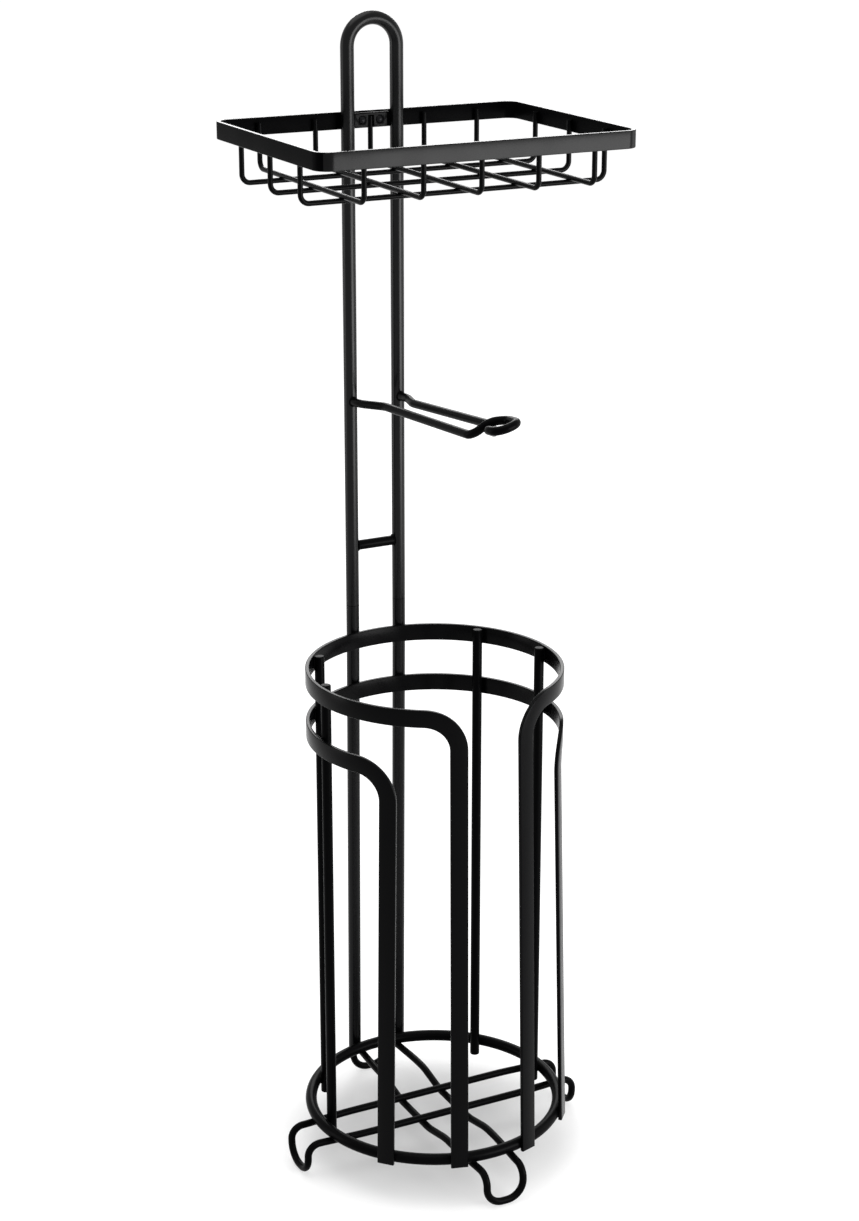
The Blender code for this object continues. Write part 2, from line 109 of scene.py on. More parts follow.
def pick_points(piece, wanted):
    """Go to edit mode with the points selected whose places are wanted."""
    bpy.ops.object.mode_set(mode="EDIT")
    bpy.ops.mesh.select_mode(type="VERT")
    bpy.ops.mesh.select_all(action="DESELECT")
    bpy.ops.object.mode_set(mode="OBJECT")
    for point in piece.data.vertices:
        point.select = wanted(point.co)
    bpy.ops.object.mode_set(mode="EDIT")


def hand_over(piece, name, coat, *nodes, slot="powder_coat"):
    """Name a finished piece, coat it, smooth it, and put it in the place of its CAD nodes."""
    take_up(piece)
    bpy.ops.object.transform_apply(location=True, rotation=True, scale=True)
    bpy.ops.object.shade_smooth_by_angle(angle=math.radians(35))
    piece.name = name
    piece.data.materials.clear()
    piece.data.materials.append(coat)
    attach(piece, "root")
    if nodes:
        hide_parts(*nodes)
    piece.select_set(False)


ring_coat = powder_coat("ring_black", plain_black, roughness=0.30, shine=0.02)
bpy.ops.mesh.primitive_torus_add(
    major_segments=176, minor_segments=28, major_radius=ring_radius, minor_radius=ring_rod / 2,
    location=(0, 0, ring_height),
)
ring = bpy.context.object
pick_points(ring, lambda place: place.y > 0 and abs(place.x) < seam_half)
bpy.ops.transform.shrink_fatten(value=seam_swell)
bpy.ops.object.mode_set(mode="OBJECT")
hand_over(ring, "rolled_base_ring", ring_coat, "base_ring")


# Feet.
# Two closed hairpins of 4.5 mm wire lie crosswise under the ring. Their ends are bent down into four
# round-bottomed feet, and the one that runs front to back dips to pass under the other.
foot_wire = 0.0045
foot_top = 0.0216
foot_reach, foot_half = 0.0928, 0.01225
hairpin_half = 0.014
neck_near, neck_far = 0.0552, 0.0832
neck_turns = (0.006, 0.0018)
foot_turns = (0.0075, 0.0107)
dip_near, dip_far = 0.020, 0.042
dip_turn = 0.004


def draw_line(corners):
    """Chain of straight edges drawn from corner to corner, left in edit mode."""
    bpy.ops.object.select_all(action="DESELECT")
    bpy.ops.mesh.primitive_plane_add(size=0.001)
    bpy.ops.object.mode_set(mode="EDIT")
    bpy.ops.mesh.select_mode(type="VERT")
    bpy.ops.mesh.select_all(action="SELECT")
    bpy.ops.mesh.merge(type="CENTER")
    bpy.ops.transform.translate(value=corners[0])
    for here, there in zip(corners, corners[1:]):
        step = Vector(there) - Vector(here)
        bpy.ops.mesh.extrude_region_move(TRANSFORM_OT_translate={"value": step})
    return bpy.context.object


def ease_ends(bar, ease, segments):
    """Round the rims of both end faces, the only ones of a wire or bar with more than four corners."""
    bpy.ops.object.mode_set(mode="EDIT")
    bpy.ops.mesh.select_mode(type="FACE")
    bpy.ops.mesh.select_all(action="DESELECT")
    bpy.ops.object.mode_set(mode="OBJECT")
    for face in bar.data.polygons:
        face.select = len(face.vertices) > 4
    bpy.ops.object.mode_set(mode="EDIT")
    bpy.ops.mesh.region_to_loop()
    bpy.ops.mesh.bevel(affect="EDGES", offset=ease, segments=segments)
    bpy.ops.object.mode_set(mode="OBJECT")


def bent_wire(corners, turns, thickness, sides=24, closed=False, ease=0.0004):
    """Wire drawn corner by corner, each corner rounded over its own run, then given its thickness."""
    line = draw_line(corners)
    if closed:
        step = Vector(corners[0]) - Vector(corners[-1])
        bpy.ops.mesh.extrude_region_move(TRANSFORM_OT_translate={"value": step})
        bpy.ops.mesh.select_all(action="SELECT")
        bpy.ops.mesh.remove_doubles(threshold=0.00002)
    for corner, turn in zip(corners, turns):
        if not turn:
            continue
        bpy.ops.mesh.select_all(action="DESELECT")
        bpy.ops.object.mode_set(mode="OBJECT")
        nearest = min(line.data.vertices, key=lambda point: (point.co - Vector(corner)).length)
        nearest.select = True
        bpy.ops.object.mode_set(mode="EDIT")
        bpy.ops.mesh.bevel(affect="VERTICES", offset_type="OFFSET", offset=turn, segments=14, profile=0.5)
    bpy.ops.mesh.select_all(action="SELECT")
    bpy.ops.mesh.remove_doubles(threshold=0.00004)
    bpy.ops.object.mode_set(mode="OBJECT")
    bpy.ops.object.convert(target="CURVE")
    tube = bpy.context.object
    tube.data.bevel_depth = thickness / 2
    tube.data.bevel_resolution = (sides - 4) // 2
    tube.data.use_fill_caps = True
    bpy.ops.object.convert(target="MESH")
    tube = bpy.context.object
    if not closed:
        bpy.ops.object.mode_set(mode="EDIT")
        bpy.ops.mesh.select_mode(type="FACE")
        bpy.ops.mesh.select_all(action="SELECT")
        bpy.ops.mesh.remove_doubles(threshold=0.00001)
        bpy.ops.mesh.normals_make_consistent(inside=False)
        ease_ends(tube, ease, segments=3)
    return tube


foot_coat = powder_coat("foot_wire_black", plain_black, roughness=0.32, shine=0.02)
neck_to_sole = [
    (neck_near, -hairpin_half, foot_top), (neck_far, -foot_half, foot_top),
    (foot_reach, -foot_half, foot_top), (foot_reach, -foot_half, foot_wire / 2),
]
end_run = neck_to_sole + [(x, -y, z) for x, y, z in reversed(neck_to_sole)]
end_turns = [*neck_turns, *foot_turns, *reversed(foot_turns), *reversed(neck_turns)]
dip_run = [
    (-dip_far, -hairpin_half, foot_top), (-dip_near, -hairpin_half, foot_top - foot_wire),
    (dip_near, -hairpin_half, foot_top - foot_wire), (dip_far, -hairpin_half, foot_top),
]
side_corners = [(end * x, end * y, z) for end in (1, -1) for x, y, z in end_run]
side_foot = bent_wire(side_corners, end_turns * 2, foot_wire, closed=True)
hand_over(side_foot, "side_foot_hairpin", foot_coat, "foot_loop_side")
front_corners = [(-end * y, end * x, z) for end in (1, -1) for x, y, z in dip_run + end_run]
front_foot = bent_wire(front_corners, ([dip_turn] * 4 + end_turns) * 2, foot_wire, closed=True)
hand_over(front_foot, "front_foot_hairpin", foot_coat, "foot_loop_front")


# Bands.
# Two hoops of 10.4 x 2.4 mm flat bar, open at the front. Both ends of each are bent edgewise into
# slats that run down, splay outwards a little, and are welded to the outside of the ring.
bar_width, bar_thickness, bar_ease = 0.0104, 0.0024, 0.00045
hoop_radius = 0.0755
hoop_steps = 110
edge_bend = 0.020
slat_foot = 0.0235
slat_splay = 0.0063
upper_top, upper_slats = 0.314, 16.6
lower_top, lower_slats = 0.281, 48
upper_middle, lower_middle = upper_top - bar_width / 2, lower_top - bar_width / 2


def give_wall(piece, thickness, offset):
    """Give a skin its thickness, on both sides of it at offset 0 and on its inner side at -1."""
    wall = piece.modifiers.new("wall", "SOLIDIFY")
    wall.thickness = thickness
    wall.offset = offset
    bpy.ops.object.modifier_apply(modifier="wall")


def ease_edges(piece, width, segments=3):
    """Round the sharp edges of a flat bar or plate."""
    eased = piece.modifiers.new("eased", "BEVEL")
    eased.width = width
    eased.segments = segments
    eased.limit_method = "ANGLE"
    eased.angle_limit = math.radians(50)
    bpy.ops.object.modifier_apply(modifier="eased")


def slatted_band(top, slat_angle):
    """Flat bar laid out straight, bent edgewise at both ends, splayed at the foot, and rolled round."""
    reach = hoop_radius * (math.pi - math.radians(slat_angle))
    shoulder = top - bar_width / 2 - edge_bend
    splay = slat_splay * (shoulder - slat_foot) / (shoulder - ring_height)
    bpy.ops.object.select_all(action="DESELECT")
    bpy.ops.mesh.primitive_plane_add(
        size=bar_width, location=(-reach, 0, slat_foot + bar_width / 2), rotation=(math.pi / 2, 0, 0)
    )
    bar = bpy.context.object
    bpy.ops.object.transform_apply(location=True, rotation=True, scale=True)
    pick_points(bar, lambda place: place.z > slat_foot + bar_width / 2)
    bpy.ops.transform.translate(value=(0, 0, shoulder - slat_foot - bar_width))
    quarter_turn = {"steps": 18, "angle": -math.pi / 2, "axis": (0, 1, 0), "dupli": False}
    bpy.ops.mesh.spin(**quarter_turn, center=(edge_bend - reach, 0, shoulder))
    for _ in range(hoop_steps):
        step = (2 * (reach - edge_bend) / hoop_steps, 0, 0)
        bpy.ops.mesh.extrude_region_move(TRANSFORM_OT_translate={"value": step})
    bpy.ops.mesh.spin(**quarter_turn, center=(reach - edge_bend, 0, shoulder))
    bpy.ops.mesh.extrude_region_move(TRANSFORM_OT_translate={"value": (0, 0, slat_foot - shoulder)})
    # Rolled round on its wider circle, the foot would come out too wide, so it is narrowed first.
    even_width = hoop_radius / (hoop_radius + splay)
    for side in (-1, 1):
        pick_points(bar, lambda place: place.z < shoulder / 2 and place.x * side > 0)
        bpy.ops.transform.resize(value=(even_width, 1, 1), center_override=(side * reach, 0, slat_foot))
        bpy.ops.transform.translate(value=(0, splay, 0))
    bpy.ops.object.mode_set(mode="OBJECT")
    give_wall(bar, bar_thickness, offset=0)
    ease_edges(bar, bar_ease)
    along = [point.co.x for point in bar.data.vertices]
    rolled = bar.modifiers.new("rolled", "SIMPLE_DEFORM")
    rolled.deform_method = "BEND"
    rolled.deform_axis = "Z"
    rolled.angle = -(max(along) - min(along)) / hoop_radius
    bpy.ops.object.modifier_apply(modifier="rolled")
    bpy.ops.object.mode_set(mode="EDIT")
    bpy.ops.mesh.select_all(action="SELECT")
    bpy.ops.transform.translate(value=(0, hoop_radius, 0))
    bpy.ops.mesh.normals_make_consistent(inside=False)
    bpy.ops.object.mode_set(mode="OBJECT")
    return bar


band_coat = powder_coat("flat_bar_black", (0.0010, 0.0010, 0.0012), roughness=0.24, shine=0.045)
upper = slatted_band(upper_top, upper_slats)
hand_over(upper, "upper_slatted_band", band_coat, "upper_band")
lower = slatted_band(lower_top, lower_slats)
hand_over(lower, "lower_slatted_band", band_coat, "lower_band")


# Upright rods.
# Four straight 6 mm rods with eased ends stand inside the ring and both bands and are spot welded
# to them.
rod_thickness = 0.006
rod_circle = 0.0710
rod_foot, rod_head = 0.0200, 0.3135
rod_angles = {"side_rod_left": -90, "side_rod_right": 90, "back_rod_left": -131, "back_rod_right": 131}


def round_bar(thickness, length, at, lying, ease):
    """Straight round bar with eased ends, upright or lying from left to right."""
    bpy.ops.object.select_all(action="DESELECT")
    turn = (0, math.pi / 2, 0) if lying else (0, 0, 0)
    bpy.ops.mesh.primitive_cylinder_add(
        vertices=36, radius=thickness / 2, depth=length, location=at, rotation=turn
    )
    bar = bpy.context.object
    ease_ends(bar, ease, segments=4)
    return bar


def another(piece, move=(0, 0, 0)):
    """Copy of a piece with a mesh of its own, moved to its place."""
    take_up(piece)
    bpy.ops.object.duplicate()
    bpy.ops.transform.translate(value=move)
    return bpy.context.object


def round_place(angle, radius, height):
    """Place on the cage wall, with the angle counted from the middle of the open front."""
    turn = math.radians(angle)
    return (radius * math.sin(turn), -radius * math.cos(turn), height)


rod_coat = powder_coat("rod_black", plain_black, roughness=0.30, shine=0.02)
rod_middle = (0, 0, (rod_foot + rod_head) / 2)
upright = round_bar(rod_thickness, rod_head - rod_foot, rod_middle, lying=False, ease=0.0007)
for rod_node, angle in rod_angles.items():
    rod = another(upright, round_place(angle, rod_circle, 0))
    hand_over(rod, rod_node.replace("rod", "upright"), rod_coat, rod_node)
bpy.data.objects.remove(upright)


# Lower legs.
# Two 8 mm legs are welded outside the ring and both bands at the back. Each leans in slightly up to
# the upper band, stands upright above it, and hides a threaded stud in its top.
pole_rod = 0.008
pole_half, pole_back = 0.01575, 0.07945
leg_foot, leg_foot_back = 0.0240, 0.08316
leg_turn = 0.004
joint_height, joint_line = 0.3305, 0.0003
pole_black = (0.0012, 0.0012, 0.0015)


def dark_steel(name, colour, roughness, metallic, peel=0.000004):
    """Uncoated steel with a fine uneven skin and no dust."""
    steel = powder_coat(name, colour, roughness, peel=peel, dust=0.0)
    steel.node_tree.nodes["Principled BSDF"].inputs["Metallic"].default_value = metallic
    return steel


leg_coat = powder_coat("leg_black", pole_black, roughness=0.25, shine=0.13)
leg_corners = [
    (-pole_half, leg_foot_back, leg_foot), (-pole_half, pole_back, upper_middle),
    (-pole_half, pole_back, joint_height - joint_line / 2),
]
lower_leg = bent_wire(leg_corners, [0, leg_turn, 0], pole_rod, sides=36, ease=0.0005)
right_leg = another(lower_leg, (2 * pole_half, 0, 0))
hand_over(lower_leg, "lower_leg_left", leg_coat, "leg_left")
hand_over(right_leg, "lower_leg_right", leg_coat, "leg_right")

stud_steel = dark_steel("stud_steel", (0.03, 0.03, 0.03), roughness=0.3, metallic=0.9)
for stud_node in ("joint_stud_left", "joint_stud_right"):
    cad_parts[stud_node].data.materials.clear()
    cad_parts[stud_node].data.materials.append(stud_steel)


# Pole.
# One 8 mm rod bent to a tall upside-down U. Its two ends screw down on the studs, which leaves a fine
# joint line, and a short 6 mm bar is welded across above it.
pole_top, pole_turn = 0.6820, 0.0157
pole_inside = 0.0229
strut_height = 0.368

pole_coat = powder_coat("pole_black", pole_black, roughness=0.25, shine=0.15)
pole_corners = [
    (-pole_half, pole_back, joint_height + joint_line / 2), (-pole_half, pole_back, pole_top),
    (pole_half, pole_back, pole_top), (pole_half, pole_back, joint_height + joint_line / 2),
]
pole = bent_wire(pole_corners, [0, pole_turn, pole_turn, 0], pole_rod, sides=36, ease=0.0005)
hand_over(pole, "upturned_pole", pole_coat, "pole")
strut = round_bar(rod_thickness, pole_inside, (0, pole_back, strut_height), lying=True, ease=0.0003)
hand_over(strut, "pole_strut", rod_coat, "cross_bar")


# Hanging arm.
# One 5 mm wire bent to a hairpin. Its two sides run forwards and slightly up, cross over each other
# and close in a small raised loop that stops what hangs there from sliding off.
arm_wire = 0.005
arm_height, arm_root = 0.459, 0.07515
stub_length, stub_rise, stub_turn = 0.009, 0.0008, 0.005
side_half, side_start, side_rise, side_turn = 0.009, 0.029, 0.0028, 0.003
loop_corners = [
    (-side_half, 0.1370, 0.0103, 0.0055), (0.0005, 0.1402, 0.0180, 0.0040),
    (0.0085, 0.1462, 0.0194, 0.0035), (0.0065, 0.1630, 0.0217, 0.0062),
    (-0.0065, 0.1630, 0.0180, 0.0062), (-0.0075, 0.1522, 0.0169, 0.0035),
    (0.0040, 0.1397, 0.0112, side_turn), (side_half, 0.1252, 0.0119, side_turn),
]

arm_coat = powder_coat("arm_black", plain_black, roughness=0.28, shine=0.02)
# Each corner is given sideways, forwards from the pole, upwards from the arm's height, and its turn.
arm_corners = [
    (-pole_half, 0, 0, 0), (-pole_half, stub_length, stub_rise, stub_turn),
    (-side_half, side_start, side_rise, side_turn),
    *loop_corners,
    (side_half, side_start, side_rise, side_turn),
    (pole_half, stub_length, stub_rise, stub_turn), (pole_half, 0, 0, 0),
]
arm_line = [(aside, arm_root - ahead, arm_height + up) for aside, ahead, up, _ in arm_corners]
arm_turns = [turn for *_, turn in arm_corners]
arm = bent_wire(arm_line, arm_turns, arm_wire, sides=28, ease=0.0003)
hand_over(arm, "looped_arm", arm_coat, "hanging_arm")


# Basket rim.
# 10 x 2.4 mm flat bar on edge, bent to a 195 x 145 mm rectangle with round corners and welded shut.
# It hangs on the back of the pole. Its one coat is split in two copies: a glossier, lighter one on
# the front and edges paints a sheen, and a duller one on the other faces paints shade.
rim_length, rim_depth, rim_height = 0.195, 0.145, 0.010
rim_turn = 0.009
basket_middle, rim_middle = 0.01365, 0.624

# Glossier, lighter copy of the coat for the front and edges: a painted sheen.
rim_painted_sheen_coat = powder_coat("rim_painted_sheen_black", (0.0024, 0.0024, 0.0026), roughness=0.25, shine=0.1)
bpy.ops.mesh.primitive_plane_add(size=1, location=(0, basket_middle, rim_middle - rim_height / 2))
rim = bpy.context.object
rim.scale = (rim_length, rim_depth, 1)
bpy.ops.object.transform_apply(location=True, rotation=True, scale=True)
bpy.ops.object.mode_set(mode="EDIT")
bpy.ops.mesh.select_mode(type="VERT")
bpy.ops.mesh.select_all(action="SELECT")
bpy.ops.mesh.bevel(affect="VERTICES", offset_type="OFFSET", offset=rim_turn, segments=16, profile=0.5)
bpy.ops.mesh.select_all(action="SELECT")
bpy.ops.mesh.delete(type="ONLY_FACE")
bpy.ops.mesh.select_all(action="SELECT")
bpy.ops.mesh.extrude_region_move(TRANSFORM_OT_translate={"value": (0, 0, rim_height)})
bpy.ops.mesh.select_all(action="SELECT")
bpy.ops.mesh.normals_make_consistent(inside=False)
bpy.ops.object.mode_set(mode="OBJECT")
give_wall(rim, bar_thickness, offset=-1)
ease_edges(rim, bar_ease)
hand_over(rim, "flat_bar_rim", rim_painted_sheen_coat, "basket_rim")
# The faces other than the front and edges get a duller copy of the coat: painted shade.
rim.data.materials.append(powder_coat("rim_painted_shade_black", plain_black, roughness=0.38, shine=0.01))
for face in rim.data.polygons:
    inwards = Vector((0, basket_middle, rim_middle)) - face.center
    on_front = face.normal.y < -0.8 and face.normal.dot(inwards) < 0
    on_edge = abs(face.normal.z) >= 0.5
    if not on_front and not on_edge:
        face.material_index = 1


# Basket wires.
# Three long and five cross wires of 3 mm. The cross wires lie on the long ones, and all of them
# turn up at their ends and are spot welded inside the rim.
basket_wire = 0.0030
wire_tip, wire_turn = 0.626, 0.005
long_height, long_reach, long_apart = 0.59775, 0.09355, 0.0395
cross_height, cross_reach, cross_apart = 0.60055, 0.06855, 0.035
long_places = [basket_middle + k * long_apart for k in (-1, 0, 1)]
cross_places = [k * cross_apart for k in (-2, -1, 0, 1, 2)]


def turned_up_wire(start, end, height):
    """Straight basket wire with both ends turned up."""
    corners = [(*start, wire_tip), (*start, height), (*end, height), (*end, wire_tip)]
    return bent_wire(corners, [0, wire_turn, wire_turn, 0], basket_wire, sides=20, ease=0.0003)


basket_coat = powder_coat("basket_wire_black", plain_black, roughness=0.26, shine=0.035)
long_wire = turned_up_wire((-long_reach, long_places[0]), (long_reach, long_places[0]), long_height)
for k in (2, 3):
    long_copy = another(long_wire, (0, (k - 1) * long_apart, 0))
    hand_over(long_copy, f"long_wire_{k}", basket_coat, f"basket_long_wire_{k}")
hand_over(long_wire, "long_wire_1", basket_coat, "basket_long_wire_1")
cross_front, cross_back = basket_middle - cross_reach, basket_middle + cross_reach
cross_wire = turned_up_wire((cross_places[0], cross_front), (cross_places[0], cross_back), cross_height)
for k in (2, 3, 4, 5):
    cross_copy = another(cross_wire, ((k - 1) * cross_apart, 0, 0))
    hand_over(cross_copy, f"cross_wire_{k}", basket_coat, f"basket_cross_wire_{k}")
hand_over(cross_wire, "cross_wire_1", basket_coat, "basket_cross_wire_1")


# Bracket.
# Small 2.4 mm plate welded between the two sides of the pole. It has two tapped holes, and a notch
# that clears the turned-up end of the middle cross wire.
bracket_back, bracket_height = 0.08225, 0.0084
notch_width, notch_height, notch_middle = 0.0035, 0.0085, 0.62225
hole_radius, hole_half = 0.0022, 0.0056
cut_depth = 0.006
bracket_ease = 0.00025


def cut_away(piece, cutter):
    """Cut the shape of a cutter out of a piece, and clear the cutter away."""
    opened = piece.modifiers.new("opened", "BOOLEAN")
    opened.operation = "DIFFERENCE"
    opened.object = cutter
    bpy.ops.object.modifier_apply(modifier="opened")
    bpy.data.objects.remove(cutter)


bpy.ops.object.select_all(action="DESELECT")
bpy.ops.mesh.primitive_cube_add(
    size=1, location=(0, bracket_back, rim_middle), scale=(pole_inside, bar_thickness, bracket_height)
)
bracket = bpy.context.object
bpy.ops.object.transform_apply(location=True, rotation=True, scale=True)
bpy.ops.mesh.primitive_cube_add(
    size=1, location=(0, bracket_back, notch_middle), scale=(notch_width, cut_depth, notch_height)
)
cuts = [bpy.context.object]
for side in (-1, 1):
    bpy.ops.mesh.primitive_cylinder_add(
        vertices=32, radius=hole_radius, depth=cut_depth,
        location=(side * hole_half, bracket_back, rim_middle), rotation=(math.pi / 2, 0, 0),
    )
    cuts.append(bpy.context.object)
take_up(bracket)
for cut in cuts:
    cut_away(bracket, cut)
ease_edges(bracket, bracket_ease, segments=2)
hand_over(bracket, "notched_bracket", band_coat, "basket_bracket")


# Basket screws.
# Two M4 button-head screws with a hexagon socket come from behind, through the rim, into the bracket.
# Their rounded ends show between the two sides of the pole.
screw_tip, first_thread, head_seat = 0.07985, 0.08062, 0.08642
thread_pitch, thread_crest, thread_root = 0.0007, 0.00198, 0.00162
rounded_tip = [(0, 0), (0.0009, 0.0001), (0.0016, 0.00045)]
button_head = [
    (0.0031, 0.00004), (0.0034, 0.0002), (0.00332, 0.00068), (0.00295, 0.00133),
    (0.0023, 0.00188), (0.0015, 0.00218), (0, 0.00223),
]
socket_radius, socket_depth, socket_middle = 0.00144, 0.0030, 0.08895

screw_steel = dark_steel(
    "screw_black_oxide", (0.012, 0.012, 0.013), roughness=0.32, metallic=0.6, peel=0.000002
)
outline = [(radius, screw_tip + along) for radius, along in rounded_tip]
for tooth in range(8):
    crest = first_thread + thread_pitch * tooth
    outline += [(thread_crest, crest), (thread_root, crest + thread_pitch / 2)]
outline.append((thread_crest, head_seat))
outline += [(radius, head_seat + along) for radius, along in button_head]
draw_line([(hole_half, along, rim_middle + radius) for radius, along in outline])
bpy.ops.mesh.select_all(action="SELECT")
screw_axis = (hole_half, screw_tip, rim_middle)
bpy.ops.mesh.spin(steps=40, angle=2 * math.pi, center=screw_axis, axis=(0, 1, 0), dupli=False)
bpy.ops.mesh.select_all(action="SELECT")
bpy.ops.mesh.remove_doubles(threshold=0.00001)
bpy.ops.mesh.normals_make_consistent(inside=False)
bpy.ops.object.mode_set(mode="OBJECT")
screw = bpy.context.object
bpy.ops.mesh.primitive_cylinder_add(
    vertices=6, radius=socket_radius, depth=socket_depth,
    location=(hole_half, socket_middle, rim_middle), rotation=(math.pi / 2, 0, 0),
)
socket = bpy.context.object
take_up(screw)
cut_away(screw, socket)
left_screw = another(screw, (-2 * hole_half, 0, 0))
hand_over(screw, "button_screw_right", screw_steel, "basket_screw_right", slot="screw_steel")
hand_over(left_screw, "button_screw_left", screw_steel, "basket_screw_left", slot="screw_steel")


# Welds.
# Small smooth beads under the coat, wherever two pieces of the stand meet. Each is a drop of weld
# metal, pressed to its own half sizes sideways, outwards and upwards.
bead_radius = 0.001

bpy.ops.object.select_all(action="DESELECT")
bpy.ops.mesh.primitive_uv_sphere_add(segments=14, ring_count=9, radius=bead_radius)
bead = bpy.context.object
bpy.ops.object.mode_set(mode="EDIT")
bpy.ops.mesh.select_mode(type="VERT")
bpy.ops.mesh.select_all(action="SELECT")
bpy.ops.transform.vertex_random(offset=0.00011, uniform=0.3, normal=0.7, seed=4)
bpy.ops.mesh.vertices_smooth(factor=0.4, repeat=1)
bpy.ops.object.mode_set(mode="OBJECT")
rounded = bead.modifiers.new("rounded", "SUBSURF")
rounded.levels = 1
bpy.ops.object.modifier_apply(modifier="rounded")
beads = []


def lay_bead(place, half_sizes, facing=0):
    """Lay one bead at its place, turned by an angle in degrees to face outwards."""
    drop = another(bead)
    drop.location = place
    drop.scale = Vector(half_sizes) / bead_radius
    drop.rotation_euler = (0, 0, math.radians(facing))
    bpy.ops.object.transform_apply(location=True, rotation=True, scale=True)
    beads.append(drop)


rod_at_ring, rod_at_ring_bead = 0.0741, (0.0020, 0.0009, 0.0022)
rod_at_band, rod_at_band_bead = 0.0738, (0.00075, 0.00075, 0.0034)
beside_rod = 1.35
for angle in rod_angles.values():
    lay_bead(round_place(angle, rod_at_ring, ring_height), rod_at_ring_bead, angle)
    for height in (upper_middle, lower_middle):
        for beside in (-beside_rod, beside_rod):
            lay_bead(round_place(angle + beside, rod_at_band, height), rod_at_band_bead, angle)

slat_at_ring, slat_bead = 0.0803, (0.0044, 0.0008, 0.0009)
slat_bead_heights = (0.0286, 0.0250)
for angle in (-upper_slats, upper_slats, -lower_slats, lower_slats):
    for height in slat_bead_heights:
        lay_bead(round_place(angle, slat_at_ring, height), slat_bead, angle)

leg_at_ring, leg_at_ring_bead = 0.0805, (0.0026, 0.0009, 0.0022)
leg_foot_angle = 10.73
for angle in (180 - leg_foot_angle, 180 + leg_foot_angle):
    lay_bead(round_place(angle, leg_at_ring, ring_height), leg_at_ring_bead, angle)
leg_at_bands = {upper_middle: 0.0769, lower_middle: 0.0771}
leg_at_band_bead = (0.00085, 0.00085, 0.0036)
leg_angle, beside_leg = 11.2, 1.6
for angle in (180 - leg_angle, 180 + leg_angle):
    for height, radius in leg_at_bands.items():
        for beside in (-beside_leg, beside_leg):
            lay_bead(round_place(angle + beside, radius, height), leg_at_band_bead, angle)

foot_at_ring, foot_at_ring_bead = (0.07626, 0.01268, 0.0238), (0.0020, 0.0020, 0.0009)
for far in (-foot_at_ring[0], foot_at_ring[0]):
    for near in (-foot_at_ring[1], foot_at_ring[1]):
        lay_bead((far, near, foot_at_ring[2]), foot_at_ring_bead)
        lay_bead((near, far, foot_at_ring[2]), foot_at_ring_bead)
hairpins_meet, hairpin_bead = 0.0193, (0.0015, 0.0015, 0.0007)
for far in (-hairpin_half, hairpin_half):
    for near in (-hairpin_half, hairpin_half):
        lay_bead((far, near, hairpins_meet), hairpin_bead)

arm_at_pole, arm_bead = (pole_half, 0.0755, arm_height), (0.0033, 0.0013, 0.0033)
strut_at_pole, strut_bead = (0.0118, pole_back, strut_height), (0.0011, 0.0037, 0.0037)
bracket_at_pole, bracket_bead = (0.0119, 0.0820, rim_middle), (0.0009, 0.0009, 0.0039)
wire_weld_height = 0.622
long_at_rim, long_bead = 0.09495, (0.0005, 0.0012, 0.0026)
for side in (-1, 1):
    for (sideways, back, height), half_sizes in (
        (arm_at_pole, arm_bead), (strut_at_pole, strut_bead), (bracket_at_pole, bracket_bead)
    ):
        lay_bead((side * sideways, back, height), half_sizes)
    for y in long_places:
        lay_bead((side * long_at_rim, y, wire_weld_height), long_bead)

cross_at_rim, cross_bead = (-0.0563, 0.0836), (0.0012, 0.0005, 0.0026)
wires_meet, meeting_bead = 0.59915, (0.00095, 0.00095, 0.0005)
for x in cross_places:
    for y in cross_at_rim:
        lay_bead((x, y, wire_weld_height), cross_bead)
    for y in long_places:
        lay_bead((x, y, wires_meet), meeting_bead)

bpy.data.objects.remove(bead)
bpy.ops.object.select_all(action="DESELECT")
for drop in beads:
    drop.select_set(True)
bpy.context.view_layer.objects.active = beads[0]
bpy.ops.object.join()
hand_over(beads[0], "weld_beads", ring_coat)


# Studio.
# Plain pale floor that keeps the soft shadow, white surroundings, and soft light. The floor is lifted
# to white for the eye, mirrors and glass only, and less so under the stand, which paints a soft shadow
# there.
floor_size = 40
floor_grey = (0.45, 0.45, 0.45, 1)
white = (1, 1, 1, 1)


def background_rays(nodes, links):
    """Switch that is 1 for the eye, mirrors and glass, and 0 for the light that falls on things."""
    rays = nodes.new("ShaderNodeLightPath")
    shown = rays.outputs["Is Camera Ray"]
    for kind in ("Is Glossy Ray", "Is Transmission Ray"):
        either = nodes.new("ShaderNodeMath")
        either.operation = "MAXIMUM"
        links.new(shown, either.inputs[0])
        links.new(rays.outputs[kind], either.inputs[1])
        shown = either.outputs["Value"]
    return shown


bpy.ops.mesh.primitive_plane_add(size=floor_size)
floor = bpy.context.object
floor.name = "studio_floor"
pale = bpy.data.materials.new("pale_floor")
pale.use_nodes = True
nodes, links = pale.node_tree.nodes, pale.node_tree.links
ground = nodes["Principled BSDF"]
dial_in(ground, {"Base Color": floor_grey, "Roughness": 0.9, "Specular IOR Level": 0.1})
place = nodes.new("ShaderNodeTexCoord")
away = nodes.new("ShaderNodeVectorMath")
away.operation = "LENGTH"
links.new(place.outputs["Object"], away.inputs[0])
# Weaker lift near the middle paints a soft shadow under the stand; further out the floor is evenly white.
lift_and_painted_shadow = nodes.new("ShaderNodeMapRange")
lift_and_painted_shadow.interpolation_type = "SMOOTHSTEP"
dial_in(lift_and_painted_shadow, {"From Min": 0.05, "From Max": 0.13, "To Min": 0.26, "To Max": 0.85})
links.new(away.outputs["Value"], lift_and_painted_shadow.inputs["Value"])
seen = nodes.new("ShaderNodeMath")
seen.operation = "MULTIPLY"
links.new(background_rays(nodes, links), seen.inputs[0])
links.new(lift_and_painted_shadow.outputs["Result"], seen.inputs[1])
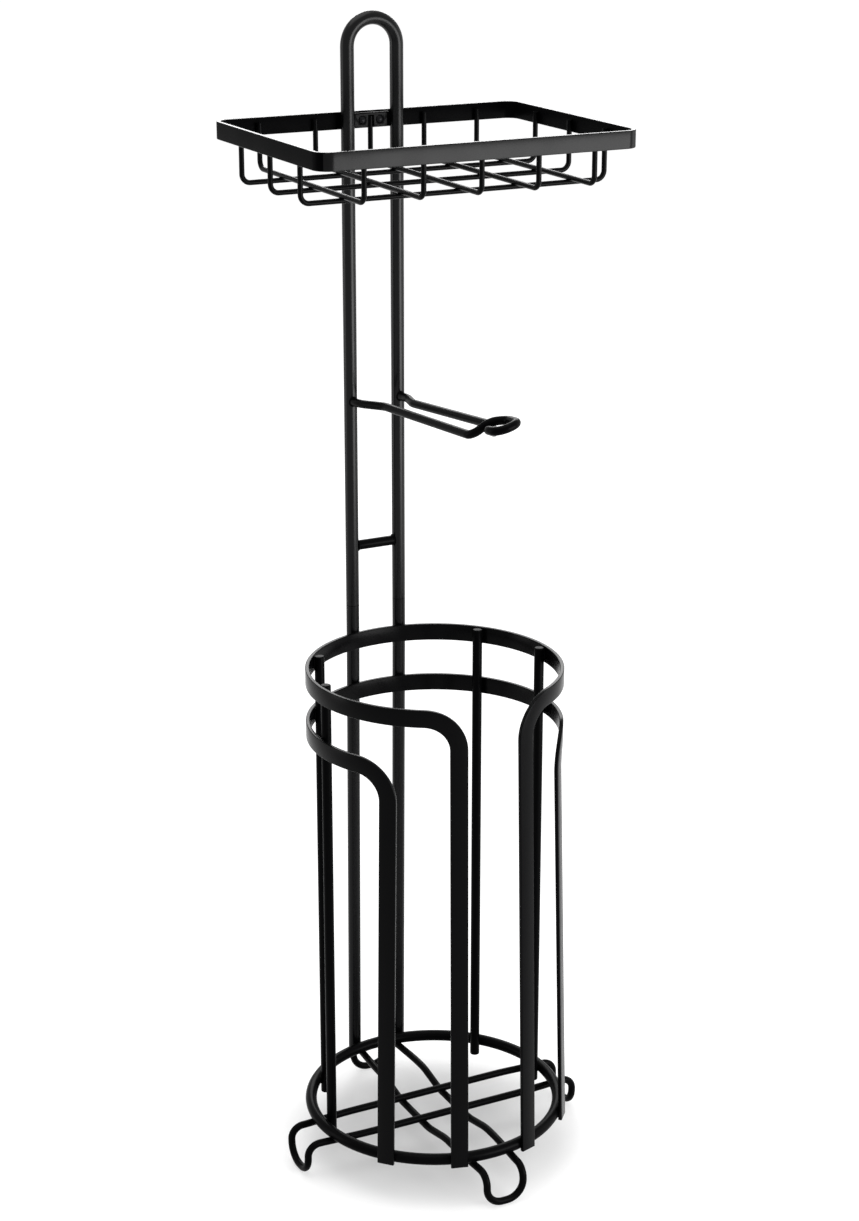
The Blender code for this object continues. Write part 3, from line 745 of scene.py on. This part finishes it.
lift = nodes.new("ShaderNodeEmission")
lift.inputs["Color"].default_value = white
links.new(seen.outputs["Value"], lift.inputs["Strength"])
both = nodes.new("ShaderNodeAddShader")
links.new(ground.outputs["BSDF"], both.inputs[0])
links.new(lift.outputs["Emission"], both.inputs[1])
links.new(both.outputs["Shader"], nodes["Material Output"].inputs["Surface"])
pale.cycles.emission_sampling = "NONE"
floor.data.materials.append(pale)

world = bpy.data.worlds.new("studio")
bpy.context.scene.world = world
world.use_nodes = True
nodes, links = world.node_tree.nodes, world.node_tree.links
air = nodes["Background"]
air.inputs["Color"].default_value = white
level = nodes.new("ShaderNodeMapRange")
dial_in(level, {"To Min": 0.32, "To Max": 1.0})
links.new(background_rays(nodes, links), level.inputs["Value"])
links.new(level.outputs["Result"], air.inputs["Strength"])

lamp_aim = Vector((0, 0, 0.45))
for name, place, size, power in (
    ("front_right_box", (0.57, -0.90, 0.37), (0.76, 0.60), 14),
    ("left_box", (-1.35, 0.69, 0.45), (0.45, 1.0), 4),
    ("right_box", (1.40, -0.25, 0.50), (0.40, 1.0), 2.2),
    ("back_box", (0.95, 1.80, 1.20), (1.2, 0.7), 16),
    ("top_box", (-0.25, 0.15, 1.9), (1.3, 1.3), 12),
):
    lamp = bpy.data.lights.new(name, "AREA")
    lamp.shape = "RECTANGLE"
    lamp.size, lamp.size_y = size
    lamp.energy = power
    box = bpy.data.objects.new(name, lamp)
    box.location = place
    box.rotation_euler = (Vector(place) - lamp_aim).to_track_quat("Z", "Y").to_euler()
    bpy.context.scene.collection.objects.link(box)

camera_place = (-0.6363, -1.2367, 0.8180)
camera_tilt, camera_turn = 18.672, -27.1
lens = bpy.data.cameras.new("photo_camera")
lens.sensor_width = 36
lens.lens = 73.68
camera = bpy.data.objects.new("photo_camera", lens)
camera.location = camera_place
camera.rotation_euler = (math.radians(90 - camera_tilt), 0, math.radians(camera_turn))
bpy.context.scene.collection.objects.link(camera)
bpy.context.scene.camera = camera
bpy.context.scene.view_settings.view_transform = "Standard"
